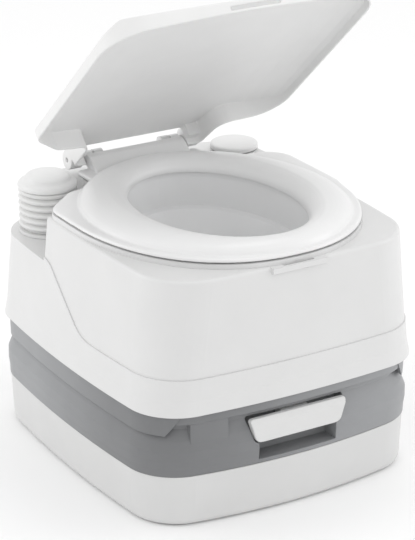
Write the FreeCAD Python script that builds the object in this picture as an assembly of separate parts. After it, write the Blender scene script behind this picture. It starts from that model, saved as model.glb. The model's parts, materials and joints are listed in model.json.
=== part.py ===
import FreeCAD, Part
import math
import os

# Cassette toilet: a flush-water section with bowl, seat and lid, standing on a waste tank.
# Millimetres. Origin: centre of the floor face. X to the right, Y to the back, Z up.

# Overall sizes
WIDTH = 383.0
DEPTH = 427.0
BASE_TOP = 63.0
SPLIT = 139.0
DECK = 296.0
CLOSED_HEIGHT = DECK + 34.0

# Walls and fits
WALL = 3.0
GAP = 0.3
RUN = 0.06

# Plan shape of the body
CORNER_R = 62.0
SIDE_BOW = 14.0
FLOOR_HALF_WIDTH = WIDTH / 2 - 5.5
FLOOR_HALF_DEPTH = DEPTH / 2 - 3.5
TOP_HALF_WIDTH = WIDTH / 2 - 16.0
TOP_HALF_DEPTH = DEPTH / 2 - 5.5
BASE_FRONT_BOW = 25.0
SKIRT_FRONT_BOW = 14.0
TOP_FRONT_BOW = 8.0
LIP_FLARE = 2.6
LIP_HEIGHT = 18.0
CREASE_HEIGHT = 43.0
CREASE_STEP = 1.4
BASE_EDGE_R = 9.0
DECK_EDGE_R = 4.0
PLINTH_TOP = DECK + 5.6
PLINTH_LIP = 0.8

# Waste tank sides
RIM_INSET = 5.5
RIM_HEIGHT = 12.0
GROOVE_INSET = 11.5
SIDE_BAND_HEIGHT = 26.0
SIDE_BAND_END = 144.0
RIDGE_Z = 94.0
PAD_X = -112.0
PAD_WIDTH = 46.0
PAD_LOW = 84.0

# Hinge of lid and seat
HINGE_Y = DEPTH / 2 - 40.5
HINGE_Z = DECK + 21.0
HINGE_PIN_R = 3.0
LUG_R = 7.5
BOSS_X = 47.0
LUG_WIDTH = 12.0
LUG_PITCH = 14.0
LID_LUG_INNER = BOSS_X + 2 * LUG_PITCH - 3.0
LID_LUG_R = 12.0

# Seat
SEAT_HALF_WIDTH = TOP_HALF_WIDTH - 5.0
SEAT_FRONT = DEPTH / 2 - 10.0
SEAT_MIDDLE = 6.0
SEAT_UNDER = PLINTH_TOP + 1.7
SEAT_DECK = SEAT_UNDER + 4.5
SEAT_SQUARENESS = 2.2
SEAT_NECK = 84.0
SEAT_REAR = HINGE_Y - 15.0
HOLE_HALF_WIDTH = 94.0
HOLE_HALF_DEPTH = 132.0
HOLE_Y = -32.0
RING_TOP = SEAT_DECK + 13.2
RING_IN = 26.0
RING_OUT = 36.0
RAMP_TOP = HINGE_Z + 7.0

# Lid
LID_ANGLE = 42.5
LID_HALF_WIDTH = SEAT_HALF_WIDTH + 6.0
LID_FRONT = SEAT_FRONT + 4.0
LID_UNDER = DECK + 6.5
LID_LIP = 12.0
LID_WALL = 2.8
LID_NECK_LEFT = SEAT_NECK + 4.5
LID_NECK_RIGHT = SEAT_NECK + 7.0
LID_REAR = HINGE_Y - 9.0
LID_SLOT_WIDTH = 64.0

# Bowl
BOWL_DEPTH = 34.0
OUTLET_Y = -10.0
OUTLET_R = 45.0
COLLAR_LOW = 126.6

# Pump at the rear left, filler at the rear right
PUMP_X = 64.5 - WIDTH / 2
PUMP_Y = DEPTH / 2 - 63.5
LEDGE = DECK - 53.0
NOTCH_FRONT = PUMP_Y - 88.0
BELLOWS_R = 35.5
BELLOWS_HEIGHT = 54.0
FOLD_DEPTH = 5.5
FOLDS = 6
NOZZLE_X = -118.0
NOZZLE_Y = 0.0
NOZZLE_Z = DECK - 14.0
NOZZLE_R = 6.0
FILLER_X = WIDTH / 2 - 52.5
FILLER_Y = DEPTH / 2 - 57.5
FILLER_CAP_R = 30.0
NECK_R = 22.5

# Slide valve in the waste tank's well
WELL_HALF_WIDTH = 76.0
WELL_FRONT = 32.5 - DEPTH / 2
WELL_BACK = 61.0
WELL_FLOOR = 105.0
BLADE_HALF_WIDTH = 57.0
BLADE_THICK = 4.6
BLADE_LAP = 13.0
ROD_HALF_WIDTH = 14.0
ROD_THICK = 2.4
HANDLE_TOP = 119.0
HANDLE_LOW = 90.0
HANDLE_TOP_HALF = 65.0
HANDLE_LOW_HALF = 56.0
HANDLE_THICK = 8.5
HANDLE_FACE = DEPTH / 2 - 0.7
RECESS_LOW = 68.0
RECESS_BACK = DEPTH / 2 - 26.5

# Pour-out spout at the rear
SPOUT_X = -104.0
SPOUT_Y = DEPTH / 2 - 37.5
SPOUT_Z = 103.0
SPOUT_R = 19.0
SPOUT_WALL = 3.2
SPOUT_END = 28.0
SPOUT_CAP_R = SPOUT_R + 3.0
BAY_LOW = SPOUT_Z - SPOUT_R - 4.5
BAY_HIGH = SPOUT_Z + SPOUT_R + 4.5
BAY_LEFT = SPOUT_X - SPOUT_R - 19.0
BAY_RIGHT = SPOUT_END + 38.0
BAY_BACK = SPOUT_Y - SPOUT_R - 5.0

# Vent button and rear latch
VENT_X = 108.0
VENT_Z = 92.0
VENT_R = 9.0
LATCH_HALF_WIDTH = 20.0
LATCH_TOP = 184.0
LATCH_LOW = 129.5
LATCH_PIVOT_Y = DEPTH / 2 - 5.5
LATCH_PIVOT_Z = 160.0
LATCH_POCKET = DEPTH / 2 - 13.5

HALF_W = WIDTH / 2
HALF_D = DEPTH / 2
AXIS_X = FreeCAD.Vector(1, 0, 0)
AXIS_Y = FreeCAD.Vector(0, 1, 0)
AXIS_Z = FreeCAD.Vector(0, 0, 1)

# A level of the body: height, half width, half depth, corner radius, side bow, front bow.
BASE_LEVELS = [
    (0.0, FLOOR_HALF_WIDTH, FLOOR_HALF_DEPTH, CORNER_R, SIDE_BOW, BASE_FRONT_BOW),
    (BASE_TOP, HALF_W - 2.5, HALF_D - 1.5, CORNER_R + 3, SIDE_BOW, BASE_FRONT_BOW),
]
UPPER_LEVELS = [
    (SPLIT + GAP, HALF_W, HALF_D, CORNER_R, SIDE_BOW, SKIRT_FRONT_BOW),
    (SPLIT + LIP_HEIGHT, HALF_W - LIP_FLARE, HALF_D - LIP_FLARE, CORNER_R, SIDE_BOW, SKIRT_FRONT_BOW),
    (DECK, TOP_HALF_WIDTH, TOP_HALF_DEPTH, CORNER_R + 4, SIDE_BOW - 3, TOP_FRONT_BOW),
]


def grey_level(z, inset):
    """A level of the waste tank's upper shell, inset from the overall outline."""
    share = (z - BASE_TOP) / (SPLIT - BASE_TOP)
    bow = BASE_FRONT_BOW + share * (SKIRT_FRONT_BOW - BASE_FRONT_BOW)
    return (z, HALF_W - inset, HALF_D - inset, CORNER_R, SIDE_BOW, bow)


RIM_LOW = SPLIT - RIM_HEIGHT
GREY_LEVELS = [
    grey_level(BASE_TOP + GAP, 2.0),
    grey_level(BASE_TOP + 9, 2.0),
    grey_level(RIDGE_Z - 12, 1.2),
    grey_level(RIDGE_Z, 1.6),
    grey_level(RIDGE_Z + 12, 5.5),
    grey_level(RIM_LOW - 8, GROOVE_INSET),
    grey_level(RIM_LOW, GROOVE_INSET),
    grey_level(SPLIT - GAP, GROOVE_INSET),
]


def vec(x, y, z):
    return FreeCAD.Vector(x, y, z)


def box(x0, x1, y0, y1, z0, z1):
    return Part.makeBox(x1 - x0, y1 - y0, z1 - z0, vec(x0, y0, z0))


def rod_z(x, y, z0, z1, r):
    return Part.makeCylinder(r, z1 - z0, vec(x, y, z0), AXIS_Z)


def rod_x(x0, x1, y, z, r):
    return Part.makeCylinder(r, x1 - x0, vec(x0, y, z), AXIS_X)


def rod_y(x, y0, y1, z, r):
    return Part.makeCylinder(r, y1 - y0, vec(x, y0, z), AXIS_Y)


def ring_z(x, y, z0, z1, r_out, r_in):
    return rod_z(x, y, z0, z1, r_out).cut(rod_z(x, y, z0 - 1, z1 + 1, r_in))


def ring_x(x0, x1, y, z, r_out, r_in):
    return rod_x(x0, x1, y, z, r_out).cut(rod_x(x0 - 1, x1 + 1, y, z, r_in))


def circle_meet(c1, r1, c2, r2):
    """Where two circles cross, on the side away from the origin."""
    dx = c2[0] - c1[0]
    dy = c2[1] - c1[1]
    d = math.hypot(dx, dy)
    along = (r1 * r1 - r2 * r2 + d * d) / (2 * d)
    across = math.sqrt(r1 * r1 - along * along)
    found = []
    for side in (-1, 1):
        x = c1[0] + (along * dx - side * across * dy) / d
        y = c1[1] + (along * dy + side * across * dx) / d
        found.append((x, y))
    return max(found, key=lambda p: p[0] + p[1])


def toward(start, end, length):
    """The point a given length from start, in the direction of end."""
    dx = end[0] - start[0]
    dy = end[1] - start[1]
    d = math.hypot(dx, dy)
    return (start[0] + dx * length / d, start[1] + dy * length / d)


def bowed_outline(level, inset):
    """A closed outline of four bowed sides joined by tangent round corners."""
    z, a, b, r, side_bow, front_bow = level
    side_r = (b * b + side_bow * side_bow) / (2 * side_bow)
    front_r = (a * a + front_bow * front_bow) / (2 * front_bow)
    side_c = (a - side_r, 0.0)
    front_c = (0.0, b - front_r)
    corner = circle_meet(front_c, front_r - r, side_c, side_r - r)
    p = toward(front_c, corner, front_r - inset)
    q = toward(side_c, corner, side_r - inset)
    middle = ((p[0] + q[0]) / 2, (p[1] + q[1]) / 2)
    m = toward(corner, middle, r - inset)
    edges = []
    quarters = [(1, -1), (1, 1), (-1, 1), (-1, -1)]
    sides = [(a - inset, 0.0), (0.0, b - inset), (inset - a, 0.0), (0.0, inset - b)]
    for i, (sx, sy) in enumerate(quarters):
        first, last = (p, q) if sx * sy < 0 else (q, p)
        start = vec(sx * first[0], sy * first[1], z)
        mid = vec(sx * m[0], sy * m[1], z)
        end = vec(sx * last[0], sy * last[1], z)
        edges.append(Part.Arc(start, mid, end).toShape())
        nx, ny = quarters[(i + 1) % 4]
        follow = q if i % 2 == 0 else p
        side = vec(sides[i][0], sides[i][1], z)
        edges.append(Part.Arc(end, side, vec(nx * follow[0], ny * follow[1], z)).toShape())
    return Part.Wire(edges)


def level_at(levels, z):
    """The body level at height z, between the stated ones."""
    low, high = levels[0], levels[1]
    for one, two in zip(levels, levels[1:]):
        if z >= one[0]:
            low, high = one, two
    share = (z - low[0]) / (high[0] - low[0])
    return tuple(p + share * (q - p) for p, q in zip(low, high))


def bowed_solid(levels, inset, z0, z1):
    """The body between two heights, pulled in all round by inset."""
    inside = [lv for lv in levels if z0 + 0.01 < lv[0] < z1 - 0.01]
    rows = [level_at(levels, z0)] + inside + [level_at(levels, z1)]
    return Part.makeLoft([bowed_outline(lv, inset) for lv in rows], True, True)


def rounded_edges(points):
    """Edges along the points, given as (x, y, radius), at z 0; the two ends stay sharp."""
    edges = []
    last = vec(points[0][0], points[0][1], 0)
    for before, here, after in zip(points, points[1:], points[2:]):
        a1 = math.atan2(before[1] - here[1], before[0] - here[0])
        a2 = math.atan2(after[1] - here[1], after[0] - here[0])
        half = abs(math.remainder(a2 - a1, 2 * math.pi)) / 2
        reach = here[2] / math.tan(half)
        start = toward(here, before, reach)
        end = toward(here, after, reach)
        chord_mid = ((start[0] + end[0]) / 2, (start[1] + end[1]) / 2)
        centre = toward(here, chord_mid, here[2] / math.sin(half))
        mid = toward(centre, here, here[2])
        edges.append(Part.makeLine(last, vec(start[0], start[1], 0)))
        ends = [vec(p[0], p[1], 0) for p in (start, mid, end)]
        edges.append(Part.Arc(ends[0], ends[1], ends[2]).toShape())
        last = vec(end[0], end[1], 0)
    edges.append(Part.makeLine(last, vec(points[-1][0], points[-1][1], 0)))
    return edges


def rounded_wire(points):
    """A closed outline with rounded corners; it starts halfway along its last side."""
    x = (points[0][0] + points[-1][0]) / 2
    y = (points[0][1] + points[-1][1]) / 2
    return Part.Wire(rounded_edges([(x, y, 0)] + points + [(x, y, 0)]))


def prism(wire, z0, z1):
    face = Part.Face(wire)
    face.translate(vec(0, 0, z0))
    return face.extrude(vec(0, 0, z1 - z0))


def ellipse_at(z, y, a, b):
    """An ellipse round (0, y), a wide along X and b along Y."""
    turned = b > a
    shape = Part.Ellipse(vec(0, 0, 0), max(a, b), min(a, b)).toShape()
    wire = Part.Wire([shape])
    if turned:
        wire.rotate(vec(0, 0, 0), AXIS_Z, 90)
    wire.translate(vec(0, y, z))
    return wire


def oval_stack(rows, ruled):
    return Part.makeLoft([ellipse_at(*row) for row in rows], True, ruled)


def oval_block(z0, z1, grow):
    """An upright block with the seat opening's oval plan, grown all round."""
    row = (HOLE_Y, HOLE_HALF_WIDTH + grow, HOLE_HALF_DEPTH + grow)
    return oval_stack([(z0,) + row, (z1,) + row], True)


def revolve_at(points, x, y):
    """A solid of revolution round the vertical line at x, y from (radius, z) points."""
    line = [vec(r, 0, z) for r, z in points]
    face = Part.Face(Part.makePolygon(line + [line[0]]))
    solid = face.revolve(vec(0, 0, 0), AXIS_Z, 360)
    solid.translate(vec(x, y, 0))
    return solid


def edges_at_z(shape, z):
    """Edges that lie whole at height z."""
    found = []
    for edge in shape.Edges:
        b = edge.BoundBox
        if abs(b.ZMin - z) < 0.05 and abs(b.ZMax - z) < 0.05:
            found.append(edge)
    return found


def coil(r, wire_r, pitch, length, start, direction):
    """A coil spring of the given outer length, along direction from start."""
    helix = Part.makeHelix(pitch, length - 2 * wire_r, r)
    profile = Part.Wire([Part.makeCircle(wire_r, vec(r, 0, 0), AXIS_Y)])
    spring = Part.Wire(helix.Edges).makePipeShell([profile], True, False)
    spring.translate(vec(0, 0, wire_r))
    turn = FreeCAD.Placement(start, FreeCAD.Rotation(AXIS_Z, direction))
    spring.Placement = turn.multiply(spring.Placement)
    return spring


def notch_prism(clear, z0, z1):
    """The corner space round the pump, grown by clear on its inner side."""
    out = HALF_W + 20
    back = HALF_D + 20
    points = [
        (-out, NOTCH_FRONT - clear, 0),
        (PUMP_X - 38 + clear, NOTCH_FRONT - clear, 6),
        (PUMP_X + 45 + clear, PUMP_Y - 12 - clear, 30),
        (PUMP_X + 45 + clear, back, 0),
    ]
    edges = rounded_edges(points)
    edges.append(Part.makeLine(vec(PUMP_X + 45 + clear, back, 0), vec(-out, back, 0)))
    edges.append(Part.makeLine(vec(-out, back, 0), vec(-out, NOTCH_FRONT - clear, 0)))
    return prism(Part.Wire(edges), z0, z1)


def crease_keeper():
    """The space below the crease: level round the body, rising to the ledge on the left."""
    low = SPLIT + CREASE_HEIGHT
    level_part = box(-HALF_W - 9, HALF_W + 9, -HALF_D - 9, HALF_D + 9, SPLIT, low)
    high = LEDGE + 4
    crest = NOTCH_FRONT + 24
    back = HALF_D + 9
    top = rounded_edges([(-85, low, 0), (-38, low, 60), (NOTCH_FRONT - 12, high, 40), (crest, high, 0)])
    corners = [(crest, high), (back, high), (back, low - 5), (-85, low - 5), (-85, low)]
    for one, two in zip(corners, corners[1:]):
        top.append(Part.makeLine(vec(one[0], one[1], 0), vec(two[0], two[1], 0)))
    side = Part.Face(Part.Wire(top)).extrude(vec(0, 0, 90))
    side.transformShape(FreeCAD.Matrix(0, 0, 1, -HALF_W - 9, 1, 0, 0, 0, 0, 1, 0, 0, 0, 0, 0, 1))
    return level_part.fuse(side)


def hinge_bosses():
    shape = None
    for side in (-1, 1):
        x0 = side * BOSS_X - LUG_WIDTH / 2
        boss = rod_x(x0, x0 + LUG_WIDTH, HINGE_Y, HINGE_Z, LUG_R)
        foot = box(x0, x0 + LUG_WIDTH, HINGE_Y - LUG_R, HINGE_Y + 14, DECK - 1, HINGE_Z - 6)
        web = box(x0, x0 + LUG_WIDTH, HINGE_Y - LUG_R, HINGE_Y + LUG_R, DECK - 1, HINGE_Z)
        one = boss.fuse(foot).fuse(web)
        shape = one if shape is None else shape.fuse(one)
    return shape


def catch_tab():
    """The small pad at the front of the deck, with the slot that the lid's rim clips to."""
    front = -TOP_HALF_DEPTH
    pad = box(-36, 36, front - 2.5, front + 6, DECK - 7, DECK)
    return pad, box(-20, 20, front + 0.5, front + 4, DECK - 8, DECK + 1)


def upper_body():
    low = SPLIT + GAP
    outer = bowed_solid(UPPER_LEVELS, CREASE_STEP, low, DECK)
    outer = outer.makeFillet(DECK_EDGE_R, edges_at_z(outer, DECK))
    skirt = bowed_solid(UPPER_LEVELS, 0.0, low, LEDGE + 4).common(crease_keeper())
    outer = outer.fuse(skirt)
    hollow = bowed_solid(UPPER_LEVELS, WALL + CREASE_STEP, low - 1, DECK - WALL)
    notch = notch_prism(0.0, LEDGE, DECK + 20)
    hollow = hollow.cut(notch_prism(WALL, LEDGE - WALL, DECK + 20))
    plinth = prism(seat_outline(PLINTH_LIP), DECK - 1, PLINTH_TOP)
    shell = outer.fuse(plinth).cut(notch).cut(hollow)
    shell = shell.fuse(hinge_bosses())
    tab, tab_slot = catch_tab()
    shell = shell.fuse(tab).cut(tab_slot)
    for side in (-1, 1):
        x0 = side * BOSS_X - LUG_WIDTH
        shell = shell.cut(rod_x(x0, x0 + 2 * LUG_WIDTH, HINGE_Y, HINGE_Z, HINGE_PIN_R + RUN))
    shell = shell.cut(oval_block(DECK - 10, PLINTH_TOP + 5, 4 + WALL + 2 * GAP))
    shell = shell.cut(rod_z(FILLER_X, FILLER_Y, DECK - 10, DECK + 10, NECK_R + GAP))
    shell = shell.cut(rod_z(PUMP_X, PUMP_Y, LEDGE - 10, LEDGE + 1, 16 + GAP))
    pocket_x = LATCH_HALF_WIDTH + 2
    side = pocket_x + WALL
    block = box(-side, side, LATCH_POCKET - WALL, HALF_D - 3.5, low, LATCH_TOP + 3 + WALL)
    room = box(-pocket_x, pocket_x, LATCH_POCKET, HALF_D + 5, low - 1, LATCH_TOP + 3)
    shell = shell.fuse(block).cut(room)
    return shell.cut(rod_x(-pocket_x - 9, pocket_x + 9, LATCH_PIVOT_Y, LATCH_PIVOT_Z, 2.0 + RUN))


def tank_floor():
    z0 = SPLIT + GAP + 0.3
    plate = bowed_solid(UPPER_LEVELS, WALL + CREASE_STEP + GAP, z0, z0 + WALL)
    plate = plate.cut(rod_z(0, OUTLET_Y, z0 - 1, z0 + WALL + 1, OUTLET_R + 8))
    x = LATCH_HALF_WIDTH + 2 + WALL + GAP
    return plate.cut(box(-x, x, LATCH_POCKET - WALL - GAP, HALF_D, z0 - 1, z0 + WALL + 1))


def bowl_rows(grow, top, low):
    """Ovals down the bowl: mouth, foot of the upright wall, sloping floor, outlet collar."""
    rim = (HOLE_Y, HOLE_HALF_WIDTH + 4 + grow, HOLE_HALF_DEPTH + 4 + grow)
    foot = (HOLE_Y, HOLE_HALF_WIDTH + grow, HOLE_HALF_DEPTH + grow)
    shelf = (HOLE_Y, HOLE_HALF_WIDTH - 4 + grow, HOLE_HALF_DEPTH - 5 + grow)
    collar = (OUTLET_Y, OUTLET_R + grow, OUTLET_R + grow + 0.01)
    step = DECK - BOWL_DEPTH
    return [
        (top,) + rim,
        (DECK + 1,) + rim,
        (step,) + foot,
        (step - 3,) + shelf,
        (step - 40, HOLE_Y * 0.75 + OUTLET_Y * 0.25, 70 + grow, 98 + grow),
        (step - 80, OUTLET_Y, OUTLET_R + 5 + grow, OUTLET_R + 9 + grow),
        (SPLIT + 22,) + collar,
        (low,) + collar,
    ]


def bowl():
    high = PLINTH_TOP + GAP
    outer = oval_stack(bowl_rows(WALL, high + 1.1, COLLAR_LOW), True)
    inner = oval_stack(bowl_rows(0.0, high + 3, COLLAR_LOW - 1), True)
    shape = outer.fuse(oval_block(high, high + 1.1, 13)).cut(inner)
    reach = HOLE_HALF_WIDTH
    return shape.cut(rod_x(-reach - 14, -reach + 12, NOZZLE_Y, NOZZLE_Z, NOZZLE_R + GAP))


def outlet_gasket():
    z0 = SPLIT + GAP + 0.3 + WALL + GAP
    return ring_z(0, OUTLET_Y, z0, z0 + 4, OUTLET_R + 14, OUTLET_R + WALL + 0.1)


def seat_outline(grow):
    """The seat's edge: a squarish oval front, straight sides, hollows round pump and filler."""
    a = SEAT_HALF_WIDTH + grow
    b = SEAT_FRONT + SEAT_MIDDLE + grow
    power = 2 / SEAT_SQUARENESS
    points = []
    for i in range(17):
        t = math.pi * i / 16
        x = a * math.copysign(abs(math.cos(t)) ** power, math.cos(t))
        points.append(vec(-x, SEAT_MIDDLE - b * math.sin(t) ** power, 0))
    points[0] = vec(-a, SEAT_MIDDLE, 0)
    points[16] = vec(a, SEAT_MIDDLE, 0)
    curve = Part.BSplineCurve()
    curve.interpolate(points, InitialTangent=vec(0, -90, 0), FinalTangent=vec(0, 90, 0))
    neck = SEAT_NECK + grow
    rear = [
        (a, SEAT_MIDDLE, 0),
        (a, SEAT_REAR - 55 + grow, 38),
        (neck + 7, SEAT_REAR - 51 + grow, 20),
        (neck, SEAT_REAR + grow, 6),
        (-neck, SEAT_REAR + grow, 6),
        (-neck - 1, SEAT_REAR - 54 + grow, 14),
        (PUMP_X - grow, SEAT_REAR - 61.5 + grow, 24),
        (-a, SEAT_REAR - 100 + grow, 26),
        (-a, SEAT_MIDDLE, 0),
    ]
    return Part.Wire([curve.toShape()] + rounded_edges(rear))


def ring_depth(out):
    """How far the ring reaches along Y where it reaches this far across."""
    return out * 0.82 if out < RING_IN else RING_IN * 0.82 + (out - RING_IN) * 0.5


def ring_outside():
    """The seat ring's outer surface, a quarter wave from the crest down to the seat's edge."""
    rows = []
    for i in range(9):
        t = math.pi / 2 * i / 8
        z = SEAT_DECK - 3 + (RING_TOP - SEAT_DECK + 3) * math.sin(t)
        out = RING_IN + RING_OUT * math.cos(t)
        rows.append((z, HOLE_Y + 5, HOLE_HALF_WIDTH + out, HOLE_HALF_DEPTH + ring_depth(out)))
    return oval_stack(rows, True)


def ring_inside():
    """The seat opening: upright at the bottom, then a round slope up to the crest."""
    rows = [(SEAT_UNDER - 1, HOLE_Y, HOLE_HALF_WIDTH, HOLE_HALF_DEPTH)]
    low = SEAT_UNDER + 4
    for i in range(8):
        t = math.pi / 2 * i / 8
        z = low + (RING_TOP - low) * math.sin(t)
        out = RING_IN * (1 - math.cos(t))
        rows.append((z, HOLE_Y + 5 * out / RING_IN, HOLE_HALF_WIDTH + out, HOLE_HALF_DEPTH + ring_depth(out)))
    rows.append((RING_TOP + 1, HOLE_Y + 5, HOLE_HALF_WIDTH + RING_IN, HOLE_HALF_DEPTH + ring_depth(RING_IN)))
    return oval_stack(rows, True)


def seat_ramp():
    """The raised back of the seat, up to the hinge."""
    back = HINGE_Y - LUG_R - 1
    points = [(back - 52.5, SEAT_UNDER), (back - 52.5, SEAT_DECK), (back - 26.5, SEAT_DECK + 2), (back - 9, RAMP_TOP - 2)]
    points = points + [(back - 3, RAMP_TOP), (back, RAMP_TOP), (back, HINGE_Z - 6), (back - 7, SEAT_UNDER)]
    half = BOSS_X + LUG_PITCH + LUG_WIDTH / 2
    line = [vec(-half, y, z) for y, z in points]
    return Part.Face(Part.makePolygon(line + [line[0]])).extrude(vec(2 * half, 0, 0))


def bumper_spots():
    x = HOLE_HALF_WIDTH + RING_IN
    return [(-x, HOLE_Y - 60), (x, HOLE_Y - 60), (-x, HOLE_Y + 60), (x, HOLE_Y + 60)]


def seat():
    edge = seat_outline(0.0)
    slab = prism(edge, SEAT_UNDER, SEAT_DECK)
    slab = slab.makeFillet(3.0, edges_at_z(slab, SEAT_DECK))
    ring = ring_outside().common(prism(edge, SEAT_UNDER, RING_TOP + 5))
    shape = slab.fuse(ring).fuse(seat_ramp())
    shape = shape.fuse(hinge_ears(BOSS_X + LUG_PITCH, HINGE_Z - 9, HINGE_Y - 16))
    shape = shape.cut(ring_inside())
    for x, y in bumper_spots():
        shape = shape.cut(rod_z(x, y, SEAT_UNDER - 1, SEAT_UNDER + 4, 6.0 + RUN))
    return shape


def hinge_ears(x, z_low, y_front):
    """A pair of hinge lugs at plus and minus x, reaching forward to y_front."""
    shape = None
    for side in (-1, 1):
        x0 = side * x - LUG_WIDTH / 2
        eye = rod_x(x0, x0 + LUG_WIDTH, HINGE_Y, HINGE_Z, LUG_R)
        arm = box(x0, x0 + LUG_WIDTH, y_front, HINGE_Y, z_low, z_low + 9)
        arm = arm.fuse(box(x0, x0 + LUG_WIDTH, HINGE_Y - LUG_R, HINGE_Y, z_low, HINGE_Z))
        one = eye.fuse(arm).cut(rod_x(x0 - 1, x0 + LUG_WIDTH + 1, HINGE_Y, HINGE_Z, HINGE_PIN_R + RUN))
        shape = one if shape is None else shape.fuse(one)
    return shape


def seat_bumpers():
    pads = []
    for x, y in bumper_spots():
        pads.append(rod_z(x, y, PLINTH_TOP + GAP, SEAT_UNDER + 4 - RUN, 6.0))
    return Part.makeCompound(pads)


def lid_outline(inset):
    """The lid's edge seen from above when closed."""
    w = LID_HALF_WIDTH
    points = [
        (-w, -LID_FRONT + 14, 54),
        (0, -LID_FRONT - 4.5, 900),
        (w, -LID_FRONT + 14, 54),
        (w, LID_REAR - 55, 42),
        (LID_NECK_RIGHT + 6, LID_REAR - 51, 22),
        (LID_NECK_RIGHT, LID_REAR, 8),
        (-LID_NECK_LEFT, LID_REAR, 8),
        (-LID_NECK_LEFT - 1, LID_REAR - 56, 14),
        (PUMP_X - 7, LID_REAR - 64, 26),
        (-w, LID_REAR - 106, 30),
    ]
    wire = rounded_wire(points)
    return wire.makeOffset2D(-inset) if inset > 0 else wire


def lid_roof(drop):
    """The space under the lid's skin: an upright lip, sloping shoulders and a flat crown."""
    lip = LID_UNDER + LID_LIP
    top = CLOSED_HEIGHT - drop
    rise = CLOSED_HEIGHT - lip
    slope = [(0, 0), (6, 0.3 * rise), (18, 0.62 * rise), (35, 0.86 * rise), (60, 0.96 * rise)]
    low = LID_UNDER - 2
    across = []
    for side in (-1, 1):
        steps = slope if side < 0 else slope[::-1]
        edge = LID_HALF_WIDTH - drop
        across += [(side * (edge - inward), lip + up - drop) for inward, up in steps]
    across = [(-LID_HALF_WIDTH - 9, low), (-LID_HALF_WIDTH - 9, lip - drop - 4)] + across
    across += [(LID_HALF_WIDTH + 9, lip - drop - 4), (LID_HALF_WIDTH + 9, low)]
    middle = [(x, z) for x, z in across if abs(x) < LID_HALF_WIDTH - 59 - drop]
    across.insert(across.index(middle[-1]), (0.0, top))
    line = [vec(x, -DEPTH, z) for x, z in across]
    over = Part.Face(Part.makePolygon(line + [line[0]])).extrude(vec(0, 2 * DEPTH, 0))
    front = [(-LID_FRONT - 9, low), (-LID_FRONT - 9, lip - drop - 4)]
    front += [(-LID_FRONT + drop + inward, lip + up - drop) for inward, up in slope]
    front += [(-LID_FRONT + 110, top), (HINGE_Y + 40, top), (HINGE_Y + 40, low)]
    line = [vec(-WIDTH, y, z) for y, z in front]
    along = Part.Face(Part.makePolygon(line + [line[0]])).extrude(vec(2 * WIDTH, 0, 0))
    return over.common(along)


def lid_lug(side):
    """A rounded arm end round the hinge pin, at the outside of the lid's neck."""
    outer = LID_NECK_LEFT if side < 0 else LID_NECK_RIGHT
    x0 = min(side * LID_LUG_INNER, side * outer)
    x1 = max(side * LID_LUG_INNER, side * outer)
    nose = rod_x(x0, x1, HINGE_Y, HINGE_Z, LID_LUG_R)
    arm = box(x0, x1, LID_REAR - 12, HINGE_Y, HINGE_Z - 6, HINGE_Z + LID_LUG_R)
    lug = nose.fuse(arm)
    return lug, rod_x(x0 - 1, x1 + 1, HINGE_Y, HINGE_Z, HINGE_PIN_R + RUN)


def lid_closed():
    outer = prism(lid_outline(0.0), LID_UNDER, CLOSED_HEIGHT + 1).common(lid_roof(0.0))
    inner = prism(lid_outline(LID_WALL), LID_UNDER - 1, CLOSED_HEIGHT).common(lid_roof(LID_WALL))
    tray = outer.cut(inner)
    half = LID_SLOT_WIDTH / 2
    tray = tray.cut(box(-half, half, -LID_FRONT - 5, -LID_FRONT + 10, LID_UNDER + 3, LID_UNDER + 8))
    gap = LID_LUG_INNER - 1
    tray = tray.cut(box(-gap, gap, LID_REAR - 8, LID_REAR + 5, LID_UNDER - 1, CLOSED_HEIGHT - LID_WALL))
    for side in (-1, 1):
        lug, bore = lid_lug(side)
        tray = tray.fuse(lug).cut(bore)
    return tray


def open_lid(shape):
    """Turn a closed-lid shape up to the half-open angle."""
    shape.rotate(vec(0, HINGE_Y, HINGE_Z), AXIS_X, -LID_ANGLE)
    return shape


def lid():
    return open_lid(lid_closed())


def hinge_pins():
    start = BOSS_X - LUG_WIDTH / 2
    length = LID_LUG_INNER + 13 - start
    pins = [rod_x(x, x + length, HINGE_Y, HINGE_Z, HINGE_PIN_R) for x in (-start - length, start)]
    return Part.makeCompound(pins)


def pump_base():
    z0 = LEDGE + GAP
    flange = ring_z(PUMP_X, PUMP_Y, z0, z0 + 4, BELLOWS_R, 12)
    tube = ring_z(PUMP_X, PUMP_Y, LEDGE - 16, z0 + 4, 16, 12)
    floor = ring_z(PUMP_X, PUMP_Y, LEDGE - 18, LEDGE - 15, 16, 5)
    return flange.fuse(tube).fuse(floor)


def bellows_top():
    return LEDGE + GAP + 4 + GAP + BELLOWS_HEIGHT


def bellows_profile(r_in):
    """Folds from the base ring to the cap, as (radius, z) points."""
    low = LEDGE + GAP + 4 + GAP
    high = bellows_top()
    pitch = (high - low - 4) / FOLDS
    points = [(r_in, low), (r_in, low + 2)]
    for i in range(FOLDS):
        z = low + 2 + i * pitch
        points.append((r_in + FOLD_DEPTH * 0.75, z + pitch * 0.25))
        points.append((r_in + FOLD_DEPTH, z + pitch * 0.5))
        points.append((r_in + FOLD_DEPTH * 0.75, z + pitch * 0.75))
        points.append((r_in, z + pitch))
    points.append((r_in, high))
    return points


def pump_bellows():
    outer = bellows_profile(BELLOWS_R - FOLD_DEPTH)
    inner = bellows_profile(BELLOWS_R - FOLD_DEPTH - 1.6)
    return revolve_at(outer + inner[::-1], PUMP_X, PUMP_Y)


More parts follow.
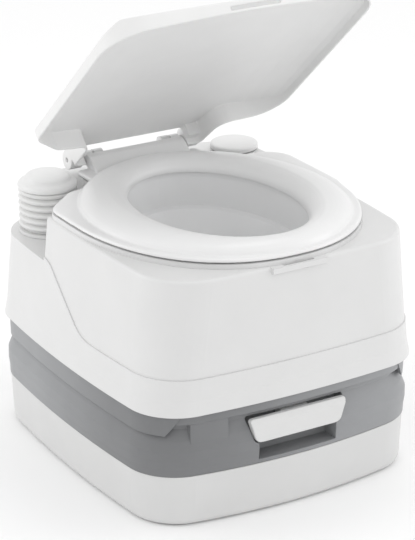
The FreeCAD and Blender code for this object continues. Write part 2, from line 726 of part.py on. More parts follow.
def pump_cap():
    z0 = bellows_top() - 2.5
    steps = [(0, 0), (35.5, 0), (36, 1), (36, 4), (34, 6.5), (28.5, 8.5), (27.5, 10), (26.5, 13), (24, 15)]
    steps = steps + [(18, 16.6), (9, 17.4), (0, 17.6)]
    points = [(r, z0 + rise) for r, rise in steps]
    cap = revolve_at(points, PUMP_X, PUMP_Y)
    return cap.cut(rod_z(PUMP_X, PUMP_Y, z0 - 1, z0 + 3, 31))


def pump_valve_disc():
    return rod_z(PUMP_X, PUMP_Y, LEDGE - 15 + GAP, LEDGE - 15 + GAP + 1.6, 9)


def pump_dip_tube():
    low = SPLIT + 14
    return ring_z(PUMP_X, PUMP_Y, low, LEDGE - 18 - GAP, 6.5, 4.8)


def flush_hose():
    """The pressure hose from the pump's foot, under the ledge, to the nozzle beside the bowl."""
    low = LEDGE - 12
    points = [vec(PUMP_X, PUMP_Y - 16.6, low), vec(PUMP_X, PUMP_Y - 45, low - 2)]
    points += [vec(PUMP_X + 2, PUMP_Y - 85, low - 1), vec(NOZZLE_X - 4, NOZZLE_Y + 50, low + 14)]
    points += [vec(NOZZLE_X, NOZZLE_Y + 18, NOZZLE_Z - 3), vec(NOZZLE_X, NOZZLE_Y + 8.6, NOZZLE_Z)]
    path = Part.BSplineCurve()
    path.interpolate(points)
    wire = Part.Wire([path.toShape()])
    start = path.tangent(path.FirstParameter)[0]
    outer = wire.makePipeShell([Part.Wire([Part.makeCircle(4.5, points[0], start)])], True, True)
    inner = wire.makePipeShell([Part.Wire([Part.makeCircle(3.2, points[0], start)])], True, True)
    return outer.cut(inner)


def flush_nozzle():
    """A barbed elbow through the bowl's left wall, with a lip that spreads the water round the wall."""
    inner = -HOLE_HALF_WIDTH + 4
    body = rod_x(NOZZLE_X - NOZZLE_R, inner, NOZZLE_Y, NOZZLE_Z, NOZZLE_R)
    body = body.fuse(rod_y(NOZZLE_X, NOZZLE_Y, NOZZLE_Y + 8, NOZZLE_Z, 5.2))
    lip = rod_x(inner - 0.5, inner + 2.5, NOZZLE_Y, NOZZLE_Z, NOZZLE_R + 2)
    lip = lip.cut(box(inner - 2, inner + 3, NOZZLE_Y - 12, NOZZLE_Y + 12, NOZZLE_Z - 12, NOZZLE_Z - 2))
    shape = body.fuse(lip.common(rod_x(inner - 1, inner + 1.6, NOZZLE_Y, NOZZLE_Z, NOZZLE_R + 2)))
    shape = shape.cut(rod_x(NOZZLE_X, inner - 1, NOZZLE_Y, NOZZLE_Z, 3.2))
    return shape.cut(rod_y(NOZZLE_X, NOZZLE_Y, NOZZLE_Y + 9, NOZZLE_Z, 3.2))


def filler_neck():
    flange = ring_z(FILLER_X, FILLER_Y, DECK + GAP, DECK + 2, FILLER_CAP_R, NECK_R - 2.5)
    tube = ring_z(FILLER_X, FILLER_Y, DECK - 34, DECK + 2, NECK_R, NECK_R - 2.5)
    return flange.fuse(tube)


def filler_cap():
    z0 = DECK + 2 + 1.6
    r = FILLER_CAP_R
    steps = [(0, 0), (r - 0.5, 0), (r, 0.8), (r, 4.6), (r - 1.2, 6), (r - 4, 6.6), (0, 7)]
    cap = revolve_at([(radius, z0 + rise) for radius, rise in steps], FILLER_X, FILLER_Y)
    plug = ring_z(FILLER_X, FILLER_Y, DECK - 14, z0 + 1, NECK_R - 2.5 - 0.1, NECK_R - 6)
    return cap.fuse(plug)


def filler_cap_seal():
    return ring_z(FILLER_X, FILLER_Y, DECK + 2 + 0.1, DECK + 2 + 1.5, NECK_R + 2, NECK_R - 2.2)


def handle_prism(grow, y0, y1):
    """The handle's tapered front shape between two depths, grown by grow."""
    top = HANDLE_TOP + grow
    low = HANDLE_LOW - grow
    wide = HANDLE_TOP_HALF + grow
    narrow = HANDLE_LOW_HALF + grow
    points = [(-wide, top, 3), (wide, top, 3), (narrow, low, 9), (-narrow, low, 9)]
    face = Part.Face(rounded_wire(points))
    solid = face.extrude(vec(0, 0, y1 - y0))
    solid.rotate(vec(0, 0, 0), AXIS_X, 90)
    solid.translate(vec(0, y1, 0))
    return solid


def front_recess():
    """The pull recess: room for the handle, and a finger scoop under it."""
    room = handle_prism(1.5, -HALF_D - 5, -RECESS_BACK)
    half = HANDLE_LOW_HALF - 4
    scoop = box(-half, half, -HALF_D - 5, -RECESS_BACK, RECESS_LOW, HANDLE_LOW + 6)
    return room.fuse(scoop)


def recess_block():
    """The walls round the pull recess, inside the tank."""
    half = HANDLE_TOP_HALF + 5
    return box(-half, half, -HALF_D, WELL_FRONT, RECESS_LOW - WALL, SPLIT - GAP)


def side_bands():
    """The deep rim along the sides and round the corners, ending in slanted edges at front and back."""
    low = SPLIT - SIDE_BAND_HEIGHT
    level = grey_level(low, RIM_INSET - 1)
    top = grey_level(SPLIT - GAP, RIM_INSET - 1)
    band = Part.makeLoft([bowed_outline(level, 0.0), bowed_outline(top, 0.0)], True, True)
    slant = SIDE_BAND_HEIGHT * 0.65
    front = -HALF_D - 9
    wide = SIDE_BAND_END + slant
    points = [vec(-wide, front, low - 1), vec(wide, front, low - 1)]
    points = points + [vec(SIDE_BAND_END, front, SPLIT + 1), vec(-SIDE_BAND_END, front, SPLIT + 1)]
    middle = Part.Face(Part.makePolygon(points + [points[0]])).extrude(vec(0, DEPTH + 18, 0))
    return band.cut(middle)


def blank_pad():
    """A plain raised pad at the front left, below the rim."""
    lv = grey_level(PAD_LOW, 3.0)
    hv = grey_level(RIM_LOW + 1, RIM_INSET + 0.8)
    slab = Part.makeLoft([bowed_outline(lv, 0.0), bowed_outline(hv, 0.0)], True, True)
    half = PAD_WIDTH / 2
    return slab.common(box(PAD_X - half, PAD_X + half, -HALF_D, -HALF_D + 40, PAD_LOW, RIM_LOW + 1))


def waste_tank_top():
    low = BASE_TOP + GAP
    high = SPLIT - GAP
    outer = bowed_solid(GREY_LEVELS, 0.0, low, high)
    rim_low = grey_level(RIM_LOW, RIM_INSET)
    rim_high = grey_level(high, RIM_INSET)
    rim = Part.makeLoft([bowed_outline(rim_low, 0.0), bowed_outline(rim_high, 0.0)], True, True)
    outer = outer.fuse(rim)
    outer = outer.fuse(side_bands()).fuse(blank_pad())
    hollow = bowed_solid(GREY_LEVELS, WALL, low - 1, high - WALL)
    well = box(-WELL_HALF_WIDTH, WELL_HALF_WIDTH, WELL_FRONT, WELL_BACK, WELL_FLOOR, SPLIT + 1)
    w = WALL
    across = WELL_HALF_WIDTH + w
    well_walls = box(-across, across, WELL_FRONT - w, WELL_BACK + w, WELL_FLOOR - w, high)
    bay = box(BAY_LEFT, BAY_RIGHT, BAY_BACK, HALF_D + 9, BAY_LOW, BAY_HIGH)
    bay_walls = box(BAY_LEFT - w, BAY_RIGHT + w, BAY_BACK - w, HALF_D + 9, BAY_LOW - w, BAY_HIGH + w)
    vent_boss = rod_y(VENT_X, HALF_D - 27.5, HALF_D - 10.5, VENT_Z, VENT_R + 4)
    keep = recess_block().fuse(well_walls).fuse(bay_walls).fuse(vent_boss)
    shell = outer.cut(hollow.cut(keep))
    shell = shell.cut(well).cut(bay).cut(front_recess())
    slot_z = blade_mid()
    half = ROD_HALF_WIDTH + 1
    shell = shell.cut(box(-half, half, -RECESS_BACK - 2, WELL_FRONT + 2, slot_z - 3, slot_z + 3))
    shell = shell.cut(rod_z(0, OUTLET_Y, WELL_FLOOR - w - 1, WELL_FLOOR + 1, OUTLET_R + 1))
    shell = shell.cut(rod_z(SPOUT_X, SPOUT_Y, BAY_LOW - w - 1, BAY_LOW + 1, SPOUT_R + RUN))
    shell = shell.cut(rod_y(VENT_X, HALF_D - 23.5, HALF_D + 5, VENT_Z, VENT_R + 0.3))
    shell = shell.cut(rod_y(VENT_X, HALF_D - 33.5, HALF_D - 21.5, VENT_Z, 2.8))
    x = LATCH_HALF_WIDTH + 2
    shell = shell.cut(box(-x, x, HALF_D - 7, HALF_D + 5, BAY_HIGH, SPLIT + 1))
    return shell.cut(box(-x, x, HALF_D - 11.2, HALF_D + 5, BAY_HIGH, LATCH_LOW + 4))


def waste_tank_base():
    outer = bowed_solid(BASE_LEVELS, 0.0, 0.0, BASE_TOP)
    outer = outer.makeFillet(BASE_EDGE_R, edges_at_z(outer, 0.0))
    inner = bowed_solid(BASE_LEVELS, WALL, WALL, BASE_TOP)
    inner.translate(vec(0, 0, 0.001))
    cap = bowed_solid(BASE_LEVELS, WALL, BASE_TOP - 1, BASE_TOP)
    cap.translate(vec(0, 0, 0.8))
    return outer.cut(inner.fuse(cap))


def blade_mid():
    return WELL_FLOOR + GAP + 6.4 + BLADE_THICK / 2


def valve_housing():
    z0 = WELL_FLOOR + GAP
    z1 = blade_mid() + BLADE_THICK / 2 + 0.3
    x = WELL_HALF_WIDTH - 1
    block = box(-x, x, WELL_FRONT + 1, WELL_BACK - 1, z0, z1)
    floor = blade_mid() - BLADE_THICK / 2 - 0.3
    half = BLADE_HALF_WIDTH + 0.5
    channel = box(-half, half, WELL_FRONT + 5, WELL_BACK - 7, floor, z1 + 1)
    slot = box(-ROD_HALF_WIDTH - 1, ROD_HALF_WIDTH + 1, WELL_FRONT, WELL_FRONT + 6, floor, z1 + 1)
    block = block.cut(channel).cut(slot).cut(rod_z(0, OUTLET_Y, z0 - 1, z1, OUTLET_R))
    for x1, y1 in screw_spots():
        block = block.cut(rod_z(x1, y1, z0 + 2, z1 + 1, 1.6 + RUN))
    return block


def cover_low():
    return blade_mid() + BLADE_THICK / 2 + 0.6


def valve_cover():
    z0 = cover_low()
    x = WELL_HALF_WIDTH - 1
    plate = box(-x, x, WELL_FRONT + 1, WELL_BACK - 1, z0, z0 + 3)
    plate = plate.cut(rod_z(0, OUTLET_Y, z0 - 1, z0 + 5, OUTLET_R + 2))
    for x1, y1 in screw_spots():
        plate = plate.cut(rod_z(x1, y1, z0 - 1, z0 + 5, 1.6 + 0.15))
    return plate


def screw_spots():
    xs = (-WELL_HALF_WIDTH + 9, WELL_HALF_WIDTH - 9)
    ys = (WELL_FRONT + 12, OUTLET_Y - 50, WELL_BACK - 12)
    return [(x, y) for x in xs for y in ys]


def valve_screws():
    z0 = cover_low()
    screws = []
    for x, y in screw_spots():
        shank = rod_z(x, y, z0 - 7.5, z0 + 3.2, 1.6)
        head = rod_z(x, y, z0 + 3.1, z0 + 5, 3.2)
        head = head.cut(box(x - 2.4, x + 2.4, y - 0.4, y + 0.4, z0 + 4.2, z0 + 6))
        screws.append(shank.fuse(head))
    return Part.makeCompound(screws)


def valve_lip_seal():
    z0 = cover_low()
    foot = ring_z(0, OUTLET_Y, z0 + 3 + GAP, COLLAR_LOW - GAP, OUTLET_R + 9, OUTLET_R - 1)
    lip = ring_z(0, OUTLET_Y, z0 - 0.25, z0 + 4, OUTLET_R + 1.5, OUTLET_R - 1)
    return foot.fuse(lip)


def valve_blade():
    z0 = blade_mid() - BLADE_THICK / 2
    front = OUTLET_Y - OUTLET_R - BLADE_LAP
    back = OUTLET_Y + OUTLET_R + BLADE_LAP
    plate = box(-BLADE_HALF_WIDTH, BLADE_HALF_WIDTH, front, back, z0, z0 + BLADE_THICK)
    plate = plate.makeFillet(8, [e for e in plate.Edges if abs(e.BoundBox.ZLength - BLADE_THICK) < 0.1])
    r = ROD_HALF_WIDTH + 0.3
    half = ROD_THICK / 2 + 0.3
    plate = plate.cut(box(-r, r, front - 1, front + 22.3, blade_mid() - half, blade_mid() + half))
    return plate.cut(rod_z(0, front + 14, z0 - 1, z0 + BLADE_THICK + 1, 2 + RUN))


def rod_front():
    return -HANDLE_FACE + 6.5


def valve_rod():
    front = OUTLET_Y - OUTLET_R - BLADE_LAP
    half = ROD_THICK / 2
    mid = blade_mid()
    bar = box(-ROD_HALF_WIDTH, ROD_HALF_WIDTH, rod_front(), front + 22, mid - half, mid + half)
    for y in (front + 14, -RECESS_BACK - 8):
        bar = bar.cut(rod_z(0, y, mid - 5, mid + 5, 2 + RUN))
    return bar


def valve_pins():
    front = OUTLET_Y - OUTLET_R - BLADE_LAP
    half = BLADE_THICK / 2
    rear = rod_z(0, front + 14, blade_mid() - half, blade_mid() + half, 2)
    fore = rod_z(0, -RECESS_BACK - 8, blade_mid() - 4.5, blade_mid() + 4.4, 2)
    return Part.makeCompound([rear, fore])


def valve_handle():
    face = -HANDLE_FACE
    grip = handle_prism(0.0, face, face + HANDLE_THICK)
    strip = box(-HALF_W, HALF_W, face - 10, face, HANDLE_TOP - 7, HANDLE_TOP + 5)
    strip.rotate(vec(0, face, HANDLE_TOP - 7), AXIS_X, -24)
    grip = grip.cut(strip)
    scoop = handle_prism(-3.0, face + 3, face + HANDLE_THICK + 1)
    scoop = scoop.cut(box(-ROD_HALF_WIDTH - 4, ROD_HALF_WIDTH + 4, face, 0, 0, SPLIT))
    grip = grip.cut(scoop)
    mid = blade_mid()
    half_neck = ROD_HALF_WIDTH + 4
    neck = box(-half_neck, half_neck, face + 5, -RECESS_BACK - 2, mid - 4.5, mid + 4)
    shape = grip.fuse(neck)
    half = ROD_THICK / 2 + 0.3
    across = ROD_HALF_WIDTH + 0.3
    shape = shape.cut(box(-across, across, rod_front() - 0.3, 0, mid - half, mid + half))
    return shape.cut(rod_z(0, -RECESS_BACK - 8, mid - 6, mid + 6, 2 + RUN))


def pour_spout():
    r = SPOUT_R
    low = BAY_LOW - 8
    solid = rod_z(SPOUT_X, SPOUT_Y, low, SPOUT_Z, r - 0.1 + 0.04)
    solid = solid.fuse(Part.makeSphere(r - 0.06, vec(SPOUT_X, SPOUT_Y, SPOUT_Z)))
    solid = solid.fuse(rod_x(SPOUT_X, SPOUT_END, SPOUT_Y, SPOUT_Z, r - 0.06))
    i = r - SPOUT_WALL
    inside = rod_z(SPOUT_X, SPOUT_Y, low - 1, SPOUT_Z, i)
    inside = inside.fuse(Part.makeSphere(i, vec(SPOUT_X, SPOUT_Y, SPOUT_Z)))
    inside = inside.fuse(rod_x(SPOUT_X, SPOUT_END + 1, SPOUT_Y, SPOUT_Z, i))
    return solid.cut(inside)


def spout_seal():
    return ring_z(SPOUT_X, SPOUT_Y, BAY_LOW + 0.1, BAY_LOW + 2.4, SPOUT_R + 3.5, SPOUT_R + 0.02)


def spout_retainer():
    z1 = BAY_LOW - WALL - 0.1
    return ring_z(SPOUT_X, SPOUT_Y, z1 - 3, z1, SPOUT_R + 4, SPOUT_R - 0.02)


def spout_cap():
    x0 = SPOUT_END - 18
    x1 = SPOUT_END + 6
    cup = rod_x(x0, x1, SPOUT_Y, SPOUT_Z, SPOUT_CAP_R)
    cup = cup.cut(rod_x(x0 - 1, SPOUT_END + 3, SPOUT_Y, SPOUT_Z, SPOUT_R + 0.02))
    for i in range(12):
        a = math.radians(30 * i)
        y = SPOUT_Y + (SPOUT_CAP_R + 0.6) * math.cos(a)
        z = SPOUT_Z + (SPOUT_CAP_R + 0.6) * math.sin(a)
        cup = cup.cut(rod_x(x0 - 1, x1 - 3, y, z, 1.6))
    return cup


def spout_cap_seal():
    return ring_x(SPOUT_END + 0.2, SPOUT_END + 2.8, SPOUT_Y, SPOUT_Z, SPOUT_R - 0.3, SPOUT_R - 6)


def vent_button():
    face = HALF_D - 3.5
    head = rod_y(VENT_X, HALF_D - 11.5, face, VENT_Z, VENT_R)
    head = head.makeFillet(1.5, [e for e in head.Edges if abs(e.BoundBox.YMin - face) < 0.05])
    stem = rod_y(VENT_X, HALF_D - 33.5, HALF_D - 10.5, VENT_Z, 2.4)
    return head.fuse(stem)


def vent_spring():
    return coil(5.4, 0.7, 2.9, 11.0, vec(VENT_X, HALF_D - 23.1, VENT_Z), AXIS_Y)


def vent_seal():
    ring = rod_y(VENT_X, HALF_D - 31.3, HALF_D - 27.8, VENT_Z, 7.5)
    return ring.cut(rod_y(VENT_X, HALF_D - 32.5, HALF_D - 26.5, VENT_Z, 2.4 + 0.02))


def rear_latch():
    w = LATCH_HALF_WIDTH
    plate = box(-w, w, HALF_D - 6.7, HALF_D - 2, LATCH_LOW, LATCH_TOP)
    pivot = rod_x(-w, w, LATCH_PIVOT_Y, LATCH_PIVOT_Z, 4.6)
    hook = box(-w, w, HALF_D - 10.5, HALF_D - 6.5, LATCH_LOW, LATCH_LOW + 3)
    thumb = box(-w + 3, w - 3, HALF_D - 3, HALF_D - 0.6, LATCH_TOP - 14, LATCH_TOP - 3)
    shape = plate.fuse(pivot).fuse(hook).fuse(thumb)
    return shape.cut(rod_x(-w - 1, w + 1, LATCH_PIVOT_Y, LATCH_PIVOT_Z, 2.0 + RUN))


def latch_pin():
    x = LATCH_HALF_WIDTH + 2 + WALL
    return rod_x(-x, x, LATCH_PIVOT_Y, LATCH_PIVOT_Z, 2.0)


def latch_spring():
    return coil(3.6, 0.5, 1.7, 6.2, vec(0, LATCH_POCKET + GAP, LATCH_TOP - 9), AXIS_Y)


PARTS = {
    "upper_body": upper_body,
    "tank_floor": tank_floor,
    "bowl": bowl,
    "outlet_gasket": outlet_gasket,
    "seat": seat,
    "seat_bumpers": seat_bumpers,
    "lid": lid,
    "hinge_pins": hinge_pins,
    "pump_base": pump_base,
    "pump_bellows": pump_bellows,
    "pump_cap": pump_cap,
    "pump_valve_disc": pump_valve_disc,
    "pump_dip_tube": pump_dip_tube,
    "flush_hose": flush_hose,
    "flush_nozzle": flush_nozzle,
    "filler_neck": filler_neck,
    "filler_cap": filler_cap,
    "filler_cap_seal": filler_cap_seal,
    "waste_tank_top": waste_tank_top,
    "waste_tank_base": waste_tank_base,
    "valve_housing": valve_housing,
    "valve_cover": valve_cover,
    "valve_screws": valve_screws,
    "valve_lip_seal": valve_lip_seal,
    "valve_blade": valve_blade,
    "valve_rod": valve_rod,
    "valve_pins": valve_pins,
    "valve_handle": valve_handle,
    "pour_spout": pour_spout,
    "spout_seal": spout_seal,
    "spout_retainer": spout_retainer,
    "spout_cap": spout_cap,
    "spout_cap_seal": spout_cap_seal,
    "vent_button": vent_button,
    "vent_spring": vent_spring,
    "vent_seal": vent_seal,
    "rear_latch": rear_latch,
    "latch_pin": latch_pin,
    "latch_spring": latch_spring,
}

os.makedirs("parts", exist_ok=True)
for name, make in PARTS.items():
    shape = make()
    shape.exportStep("parts/" + name + ".step")
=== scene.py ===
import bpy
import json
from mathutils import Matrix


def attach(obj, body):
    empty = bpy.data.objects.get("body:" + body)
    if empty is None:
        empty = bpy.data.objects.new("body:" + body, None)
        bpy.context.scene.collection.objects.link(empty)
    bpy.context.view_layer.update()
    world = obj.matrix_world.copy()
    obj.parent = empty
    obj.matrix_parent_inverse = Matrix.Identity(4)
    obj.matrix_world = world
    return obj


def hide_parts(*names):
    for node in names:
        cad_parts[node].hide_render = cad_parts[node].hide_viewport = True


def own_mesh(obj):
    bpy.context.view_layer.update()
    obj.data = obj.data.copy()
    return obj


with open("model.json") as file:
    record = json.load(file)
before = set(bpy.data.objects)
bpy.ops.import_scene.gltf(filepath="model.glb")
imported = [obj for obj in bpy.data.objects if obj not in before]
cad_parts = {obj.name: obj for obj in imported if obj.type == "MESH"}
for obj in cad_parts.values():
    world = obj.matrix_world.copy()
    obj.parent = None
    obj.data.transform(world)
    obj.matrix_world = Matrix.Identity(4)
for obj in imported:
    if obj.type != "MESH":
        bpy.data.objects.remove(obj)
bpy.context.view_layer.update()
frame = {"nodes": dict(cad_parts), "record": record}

import json
import math

import bpy
from mathutils import Vector

MM = 0.001
CLOUD_MM = 60.0
GLOSS_PATCH_SCALE = 45.0
EDGE_SOFT_MM = 0.9
WAVE_SCALE = 14.0
WAVE_STRENGTH = 0.05
WAVE_MM = 1.2
GRAIN_MM = 0.12


# ---------------------------------------------------------------- materials
def link(tree, a, b):
    tree.links.new(a, b)


def noise(tree, coords, scale, detail):
    """Cloudy noise over the object's own coordinates."""
    node = tree.nodes.new("ShaderNodeTexNoise")
    node.inputs["Scale"].default_value = scale
    node.inputs["Detail"].default_value = detail
    link(tree, coords.outputs["Object"], node.inputs["Vector"])
    return node


def add_tone(tree, coords, colour, mottle, cloud_mm, bsdf):
    """The plastic's colour, with faint lighter and darker clouds."""
    cloud = noise(tree, coords, 1000.0 / cloud_mm, 4.0)
    cloud.inputs["Roughness"].default_value = 0.55
    ramp = tree.nodes.new("ShaderNodeValToRGB")
    low, high = ramp.color_ramp.elements
    low.position, high.position = 0.32, 0.70
    low.color = [max(0.0, c * (1.0 - mottle)) for c in colour] + [1.0]
    high.color = [min(1.0, c * (1.0 + mottle * 0.6)) for c in colour] + [1.0]
    link(tree, cloud.outputs["Fac"], ramp.inputs["Fac"])
    link(tree, ramp.outputs["Color"], bsdf.inputs["Base Color"])


def add_gloss(tree, coords, rough, bsdf):
    """Gloss that is slightly uneven from place to place."""
    patches = noise(tree, coords, GLOSS_PATCH_SCALE, 5.0)
    gloss = tree.nodes.new("ShaderNodeMapRange")
    gloss.inputs["From Min"].default_value = 0.3
    gloss.inputs["From Max"].default_value = 0.7
    gloss.inputs["To Min"].default_value = rough - 0.02
    gloss.inputs["To Max"].default_value = rough + 0.03
    link(tree, patches.outputs["Fac"], gloss.inputs["Value"])
    link(tree, gloss.outputs["Result"], bsdf.inputs["Roughness"])


def add_surface(tree, coords, grain, grain_mm, bsdf):
    """Softened edges, slight waviness of the moulding and its fine grain."""
    edge = tree.nodes.new("ShaderNodeBevel")
    edge.samples = 4
    edge.inputs["Radius"].default_value = EDGE_SOFT_MM * MM
    layers = [
        (noise(tree, coords, WAVE_SCALE, 1.0), WAVE_STRENGTH, WAVE_MM * MM),
        (noise(tree, coords, 1000.0 / grain_mm, 3.0), grain, GRAIN_MM * MM),
    ]
    normal = edge.outputs["Normal"]
    for pattern, strength, height in layers:
        bump = tree.nodes.new("ShaderNodeBump")
        bump.inputs["Strength"].default_value = strength
        bump.inputs["Distance"].default_value = height
        link(tree, pattern.outputs["Fac"], bump.inputs["Height"])
        link(tree, normal, bump.inputs["Normal"])
        normal = bump.outputs["Normal"]
    link(tree, normal, bsdf.inputs["Normal"])


def plastic(name, colour, rough, grain=0.0, grain_mm=0.8, mottle=0.03, cloud_mm=CLOUD_MM, coat=0.0,
            see_through=0.0):
    """Moulded plastic: faint clouds of tone, uneven gloss, and a fine moulded grain if it has any."""
    mat = bpy.data.materials.new(name)
    mat.use_nodes = True
    tree = mat.node_tree
    bsdf = tree.nodes["Principled BSDF"]
    coords = tree.nodes.new("ShaderNodeTexCoord")
    add_tone(tree, coords, colour, mottle, cloud_mm, bsdf)
    add_gloss(tree, coords, rough, bsdf)
    if grain > 0.0:
        add_surface(tree, coords, grain, grain_mm, bsdf)
    bsdf.inputs["IOR"].default_value = 1.49
    bsdf.inputs["Specular IOR Level"].default_value = 0.45
    bsdf.inputs["Transmission Weight"].default_value = see_through
    if coat > 0.0:
        bsdf.inputs["Coat Weight"].default_value = coat
        bsdf.inputs["Coat Roughness"].default_value = 0.22
    return mat


def pale_towards(mat, corner, reach, gain):
    """Makes a plastic paler with distance from a corner. It stands in for light along the walls."""
    tree = mat.node_tree
    nodes = tree.nodes
    base = nodes["Principled BSDF"].inputs["Base Color"]
    source = base.links[0].from_socket
    coords = nodes.new("ShaderNodeTexCoord")
    away = nodes.new("ShaderNodeVectorMath")
    away.operation = "DISTANCE"
    away.inputs[1].default_value = corner
    link(tree, coords.outputs["Object"], away.inputs[0])
    share = nodes.new("ShaderNodeMapRange")
    share.interpolation_type = "SMOOTHSTEP"
    share.inputs["From Max"].default_value = reach
    share.inputs["To Min"].default_value = 1.0
    share.inputs["To Max"].default_value = gain
    link(tree, away.outputs["Value"], share.inputs["Value"])
    # Painted light: the plastic's colour is scaled paler with distance from the corner.
    painted_light_tone = nodes.new("ShaderNodeVectorMath")
    painted_light_tone.operation = "SCALE"
    link(tree, source, painted_light_tone.inputs[0])
    link(tree, share.outputs["Result"], painted_light_tone.inputs["Scale"])
    link(tree, painted_light_tone.outputs["Vector"], base)


def metal(name, colour, rough):
    """Brushed stainless steel with fine drawn lines."""
    mat = bpy.data.materials.new(name)
    mat.use_nodes = True
    tree = mat.node_tree
    nodes = tree.nodes
    bsdf = nodes["Principled BSDF"]
    coords = nodes.new("ShaderNodeTexCoord")
    mapping = nodes.new("ShaderNodeMapping")
    mapping.inputs["Scale"].default_value = (60.0, 1200.0, 1200.0)
    link(tree, coords.outputs["Object"], mapping.inputs["Vector"])
    lines = nodes.new("ShaderNodeTexNoise")
    lines.inputs["Scale"].default_value = 1.0
    lines.inputs["Detail"].default_value = 4.0
    link(tree, mapping.outputs["Vector"], lines.inputs["Vector"])
    gloss = nodes.new("ShaderNodeMapRange")
    gloss.inputs["To Min"].default_value = rough - 0.08
    gloss.inputs["To Max"].default_value = rough + 0.12
    link(tree, lines.outputs["Fac"], gloss.inputs["Value"])
    link(tree, gloss.outputs["Result"], bsdf.inputs["Roughness"])
    ramp = nodes.new("ShaderNodeValToRGB")
    ramp.color_ramp.elements[0].color = (colour[0] * 0.8, colour[1] * 0.8, colour[2] * 0.8, 1.0)
    ramp.color_ramp.elements[1].color = (colour[0], colour[1], colour[2], 1.0)
    link(tree, lines.outputs["Fac"], ramp.inputs["Fac"])
    link(tree, ramp.outputs["Color"], bsdf.inputs["Base Color"])
    bsdf.inputs["Metallic"].default_value = 1.0
    return mat


WHITE = (0.70, 0.70, 0.698)
MATS = {
    "white_body": plastic("white_body", WHITE, 0.36, grain=0.10, grain_mm=0.9, mottle=0.015, coat=0.12),
    "white_lid": plastic("white_lid", (0.785, 0.785, 0.782), 0.42, grain=0.14, grain_mm=0.9, mottle=0.02),
    "white_seat": plastic("white_seat", (0.80, 0.80, 0.80), 0.30,
        grain=0.05, grain_mm=1.2, mottle=0.012, coat=0.25),
    "white_base": plastic("white_base", (0.655, 0.655, 0.652), 0.40, grain=0.12, grain_mm=0.9, mottle=0.02),
    "white_bowl": plastic("white_bowl", (0.82, 0.822, 0.825), 0.24,
        grain=0.03, grain_mm=1.5, mottle=0.012, coat=0.3),
    "grey_shell": plastic("grey_shell", (0.172, 0.175, 0.18), 0.44, grain=0.16, grain_mm=0.8, mottle=0.035),
    "white_handle": plastic("white_handle", (0.70, 0.70, 0.697), 0.34,
        grain=0.08, grain_mm=0.9, mottle=0.015),
    "bellows_white": plastic("bellows_white", (0.74, 0.74, 0.735), 0.50,
        grain=0.10, grain_mm=0.7, mottle=0.03),
    "cap_white": plastic("cap_white", (0.73, 0.73, 0.727), 0.34, grain=0.08, grain_mm=0.9, mottle=0.015),
    "valve_plastic": plastic("valve_plastic", (0.42, 0.43, 0.44), 0.45,
        grain=0.15, grain_mm=0.8, mottle=0.03),
    "valve_blade_plastic": plastic("valve_blade_plastic", (0.16, 0.165, 0.17), 0.38,
        grain=0.10, mottle=0.04),
    "seal_rubber": plastic("seal_rubber", (0.022, 0.022, 0.023), 0.62,
        grain=0.25, grain_mm=0.6, mottle=0.15),
    "hose_clear": plastic("hose_clear", (0.62, 0.65, 0.65), 0.30,
        grain=0.03, mottle=0.02, see_through=0.35),
    "spout_grey": plastic("spout_grey", (0.17, 0.175, 0.18), 0.38, grain=0.14, grain_mm=0.8, mottle=0.04),
    "button_grey": plastic("button_grey", (0.10, 0.105, 0.11), 0.42, grain=0.14, grain_mm=0.8, mottle=0.05),
    "steel": metal("steel", (0.62, 0.62, 0.63), 0.28),
}


FRONT_LEFT_CORNER = (-0.19, -0.21, 0.10)
# Painted light: the grey shell is painted paler away from its front left corner, in place of light falling
# along its walls.
pale_towards(MATS["grey_shell"], FRONT_LEFT_CORNER, 0.36, 1.85)


SLOT_OF = {row["node"]: row["material_slot"] for row in frame["record"]["subparts"]}
for node, obj in frame["nodes"].items():
    obj.data.materials.clear()
    obj.data.materials.append(MATS[SLOT_OF[node]])


# ---------------------------------------------------------------- softened mouldings
RELAX_PASSES = 4


def soft_moulding(node, body, voxel_mm, keep):
    """A piece with the rounded corners of a real moulding, remeshed from the node's closed shape."""
    source = frame["nodes"][node]
    piece = bpy.data.objects.new(node + "_moulded", source.data.copy())
    piece.matrix_world = source.matrix_world.copy()
    bpy.context.scene.collection.objects.link(piece)
    remesh = piece.modifiers.new("even", "REMESH")
    remesh.mode = "VOXEL"
    remesh.voxel_size = voxel_mm * MM
    relax = piece.modifiers.new("relax", "SMOOTH")
    relax.factor = 0.5
    relax.iterations = RELAX_PASSES
    thin = piece.modifiers.new("thin", "DECIMATE")
    thin.ratio = keep
    seen = piece.evaluated_get(bpy.context.evaluated_depsgraph_get())
    mesh = bpy.data.meshes.new_from_object(seen)
    piece.modifiers.clear()
    piece.data = mesh
    mesh.polygons.foreach_set("use_smooth", [True] * len(mesh.polygons))
    mesh.materials.clear()
    mesh.materials.append(MATS[SLOT_OF[node]])
    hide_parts(node)
    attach(piece, body)


soft_moulding("seat", "seat", voxel_mm=1.1, keep=0.35)
soft_moulding("lid", "lid", voxel_mm=0.9, keep=0.12)
soft_moulding("valve_handle", "valve_slide", voxel_mm=0.6, keep=0.4)
soft_moulding("pump_cap", "pump_button", voxel_mm=0.6, keep=0.4)
soft_moulding("filler_cap", "filler_cap", voxel_mm=0.5, keep=0.4)


# ---------------------------------------------------------------- bellows and springs with meshes of their own
def shortening(node, body):
    """A copy of a bellows or spring with a mesh of its own, attached to its body in place of the node.
    Shortens a little more than its joint travels, to clear what presses it.
    """
    source = frame["nodes"][node]
    piece = bpy.data.objects.new(node + "_live", source.data.copy())
    piece.matrix_world = source.matrix_world.copy()
    bpy.context.scene.collection.objects.link(piece)
    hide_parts(node)
    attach(piece, body)
    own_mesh(piece)


shortening("pump_bellows", "upper_section")
shortening("vent_spring", "waste_tank")
shortening("latch_spring", "upper_section")


# ---------------------------------------------------------------- camera
TURN = 0.5398
TILT = 0.3998
RANGE = 2.8
TARGET = Vector((0.0, 0.0, 0.165))
SENSOR_MM = 36.0
LENS_MM = 156.2433
AIM_RIGHT = 0.0019628
AIM_UP = 0.0165554


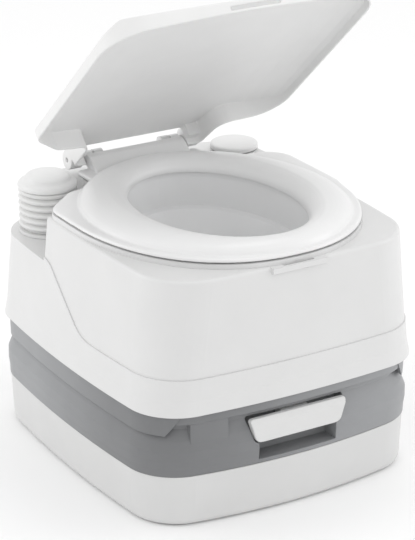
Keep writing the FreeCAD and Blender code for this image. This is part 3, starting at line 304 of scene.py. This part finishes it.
def set_camera():
    """A long lens to the left of the front and above, aimed a little off the target to frame it."""
    flat = math.cos(TILT)
    away = Vector((-math.sin(TURN) * flat, -math.cos(TURN) * flat, math.sin(TILT)))
    right = Vector((math.cos(TURN), -math.sin(TURN), 0.0))
    up = right.cross(-away)
    ahead = -away + right * AIM_RIGHT + up * AIM_UP
    data = bpy.data.cameras.new("camera")
    data.lens = LENS_MM
    data.sensor_width = SENSOR_MM
    data.clip_end = 50.0
    camera = bpy.data.objects.new("camera", data)
    camera.location = TARGET + away * RANGE
    camera.rotation_euler = ahead.to_track_quat("-Z", "Y").to_euler()
    bpy.context.scene.collection.objects.link(camera)
    bpy.context.scene.camera = camera


set_camera()


# ---------------------------------------------------------------- stage and light
def area_light(name, place, aim, size, power):
    data = bpy.data.lights.new(name, "AREA")
    data.shape = "RECTANGLE"
    data.size = size[0]
    data.size_y = size[1]
    data.energy = power
    lamp = bpy.data.objects.new(name, data)
    lamp.location = place
    lamp.rotation_euler = (Vector(aim) - Vector(place)).to_track_quat("-Z", "Y").to_euler()
    bpy.context.scene.collection.objects.link(lamp)


FLOOR_HALF = 6.0
FLOOR_DROP = 0.0005
WORLD_STRENGTH = 1.0


def stage():
    """A white floor and an even white world."""
    mesh = bpy.data.meshes.new("floor")
    corners = [(-1, -1), (1, -1), (1, 1), (-1, 1)]
    mesh.from_pydata([(x * FLOOR_HALF, y * FLOOR_HALF, 0) for x, y in corners], [], [(0, 1, 2, 3)])
    floor = bpy.data.objects.new("floor", mesh)
    floor.location = (0, 0, -FLOOR_DROP)
    mat = plastic("floor_paint", (0.95, 0.95, 0.95), 0.80, mottle=0.005, cloud_mm=900.0)
    mesh.materials.append(mat)
    bpy.context.scene.collection.objects.link(floor)
    world = bpy.data.worlds.new("studio")
    world.use_nodes = True
    background = world.node_tree.nodes["Background"]
    background.inputs["Color"].default_value = (1.0, 1.0, 1.0, 1.0)
    background.inputs["Strength"].default_value = WORLD_STRENGTH
    bpy.context.scene.world = world


stage()
area_light("left box", (-1.25, 0.75, 0.75), (-0.15, 0.1, 0.15), (0.8, 0.8), 3.0)
area_light("right box", (1.35, -0.85, 0.75), (0.15, -0.1, 0.15), (0.8, 0.8), 3.0)
area_light("top box", (0.3, 0.0, 2.2), (0, 0, 0.3), (1.0, 1.0), 4)
bpy.context.scene.view_settings.view_transform = "Standard"
bpy.context.scene.view_settings.look = "None"
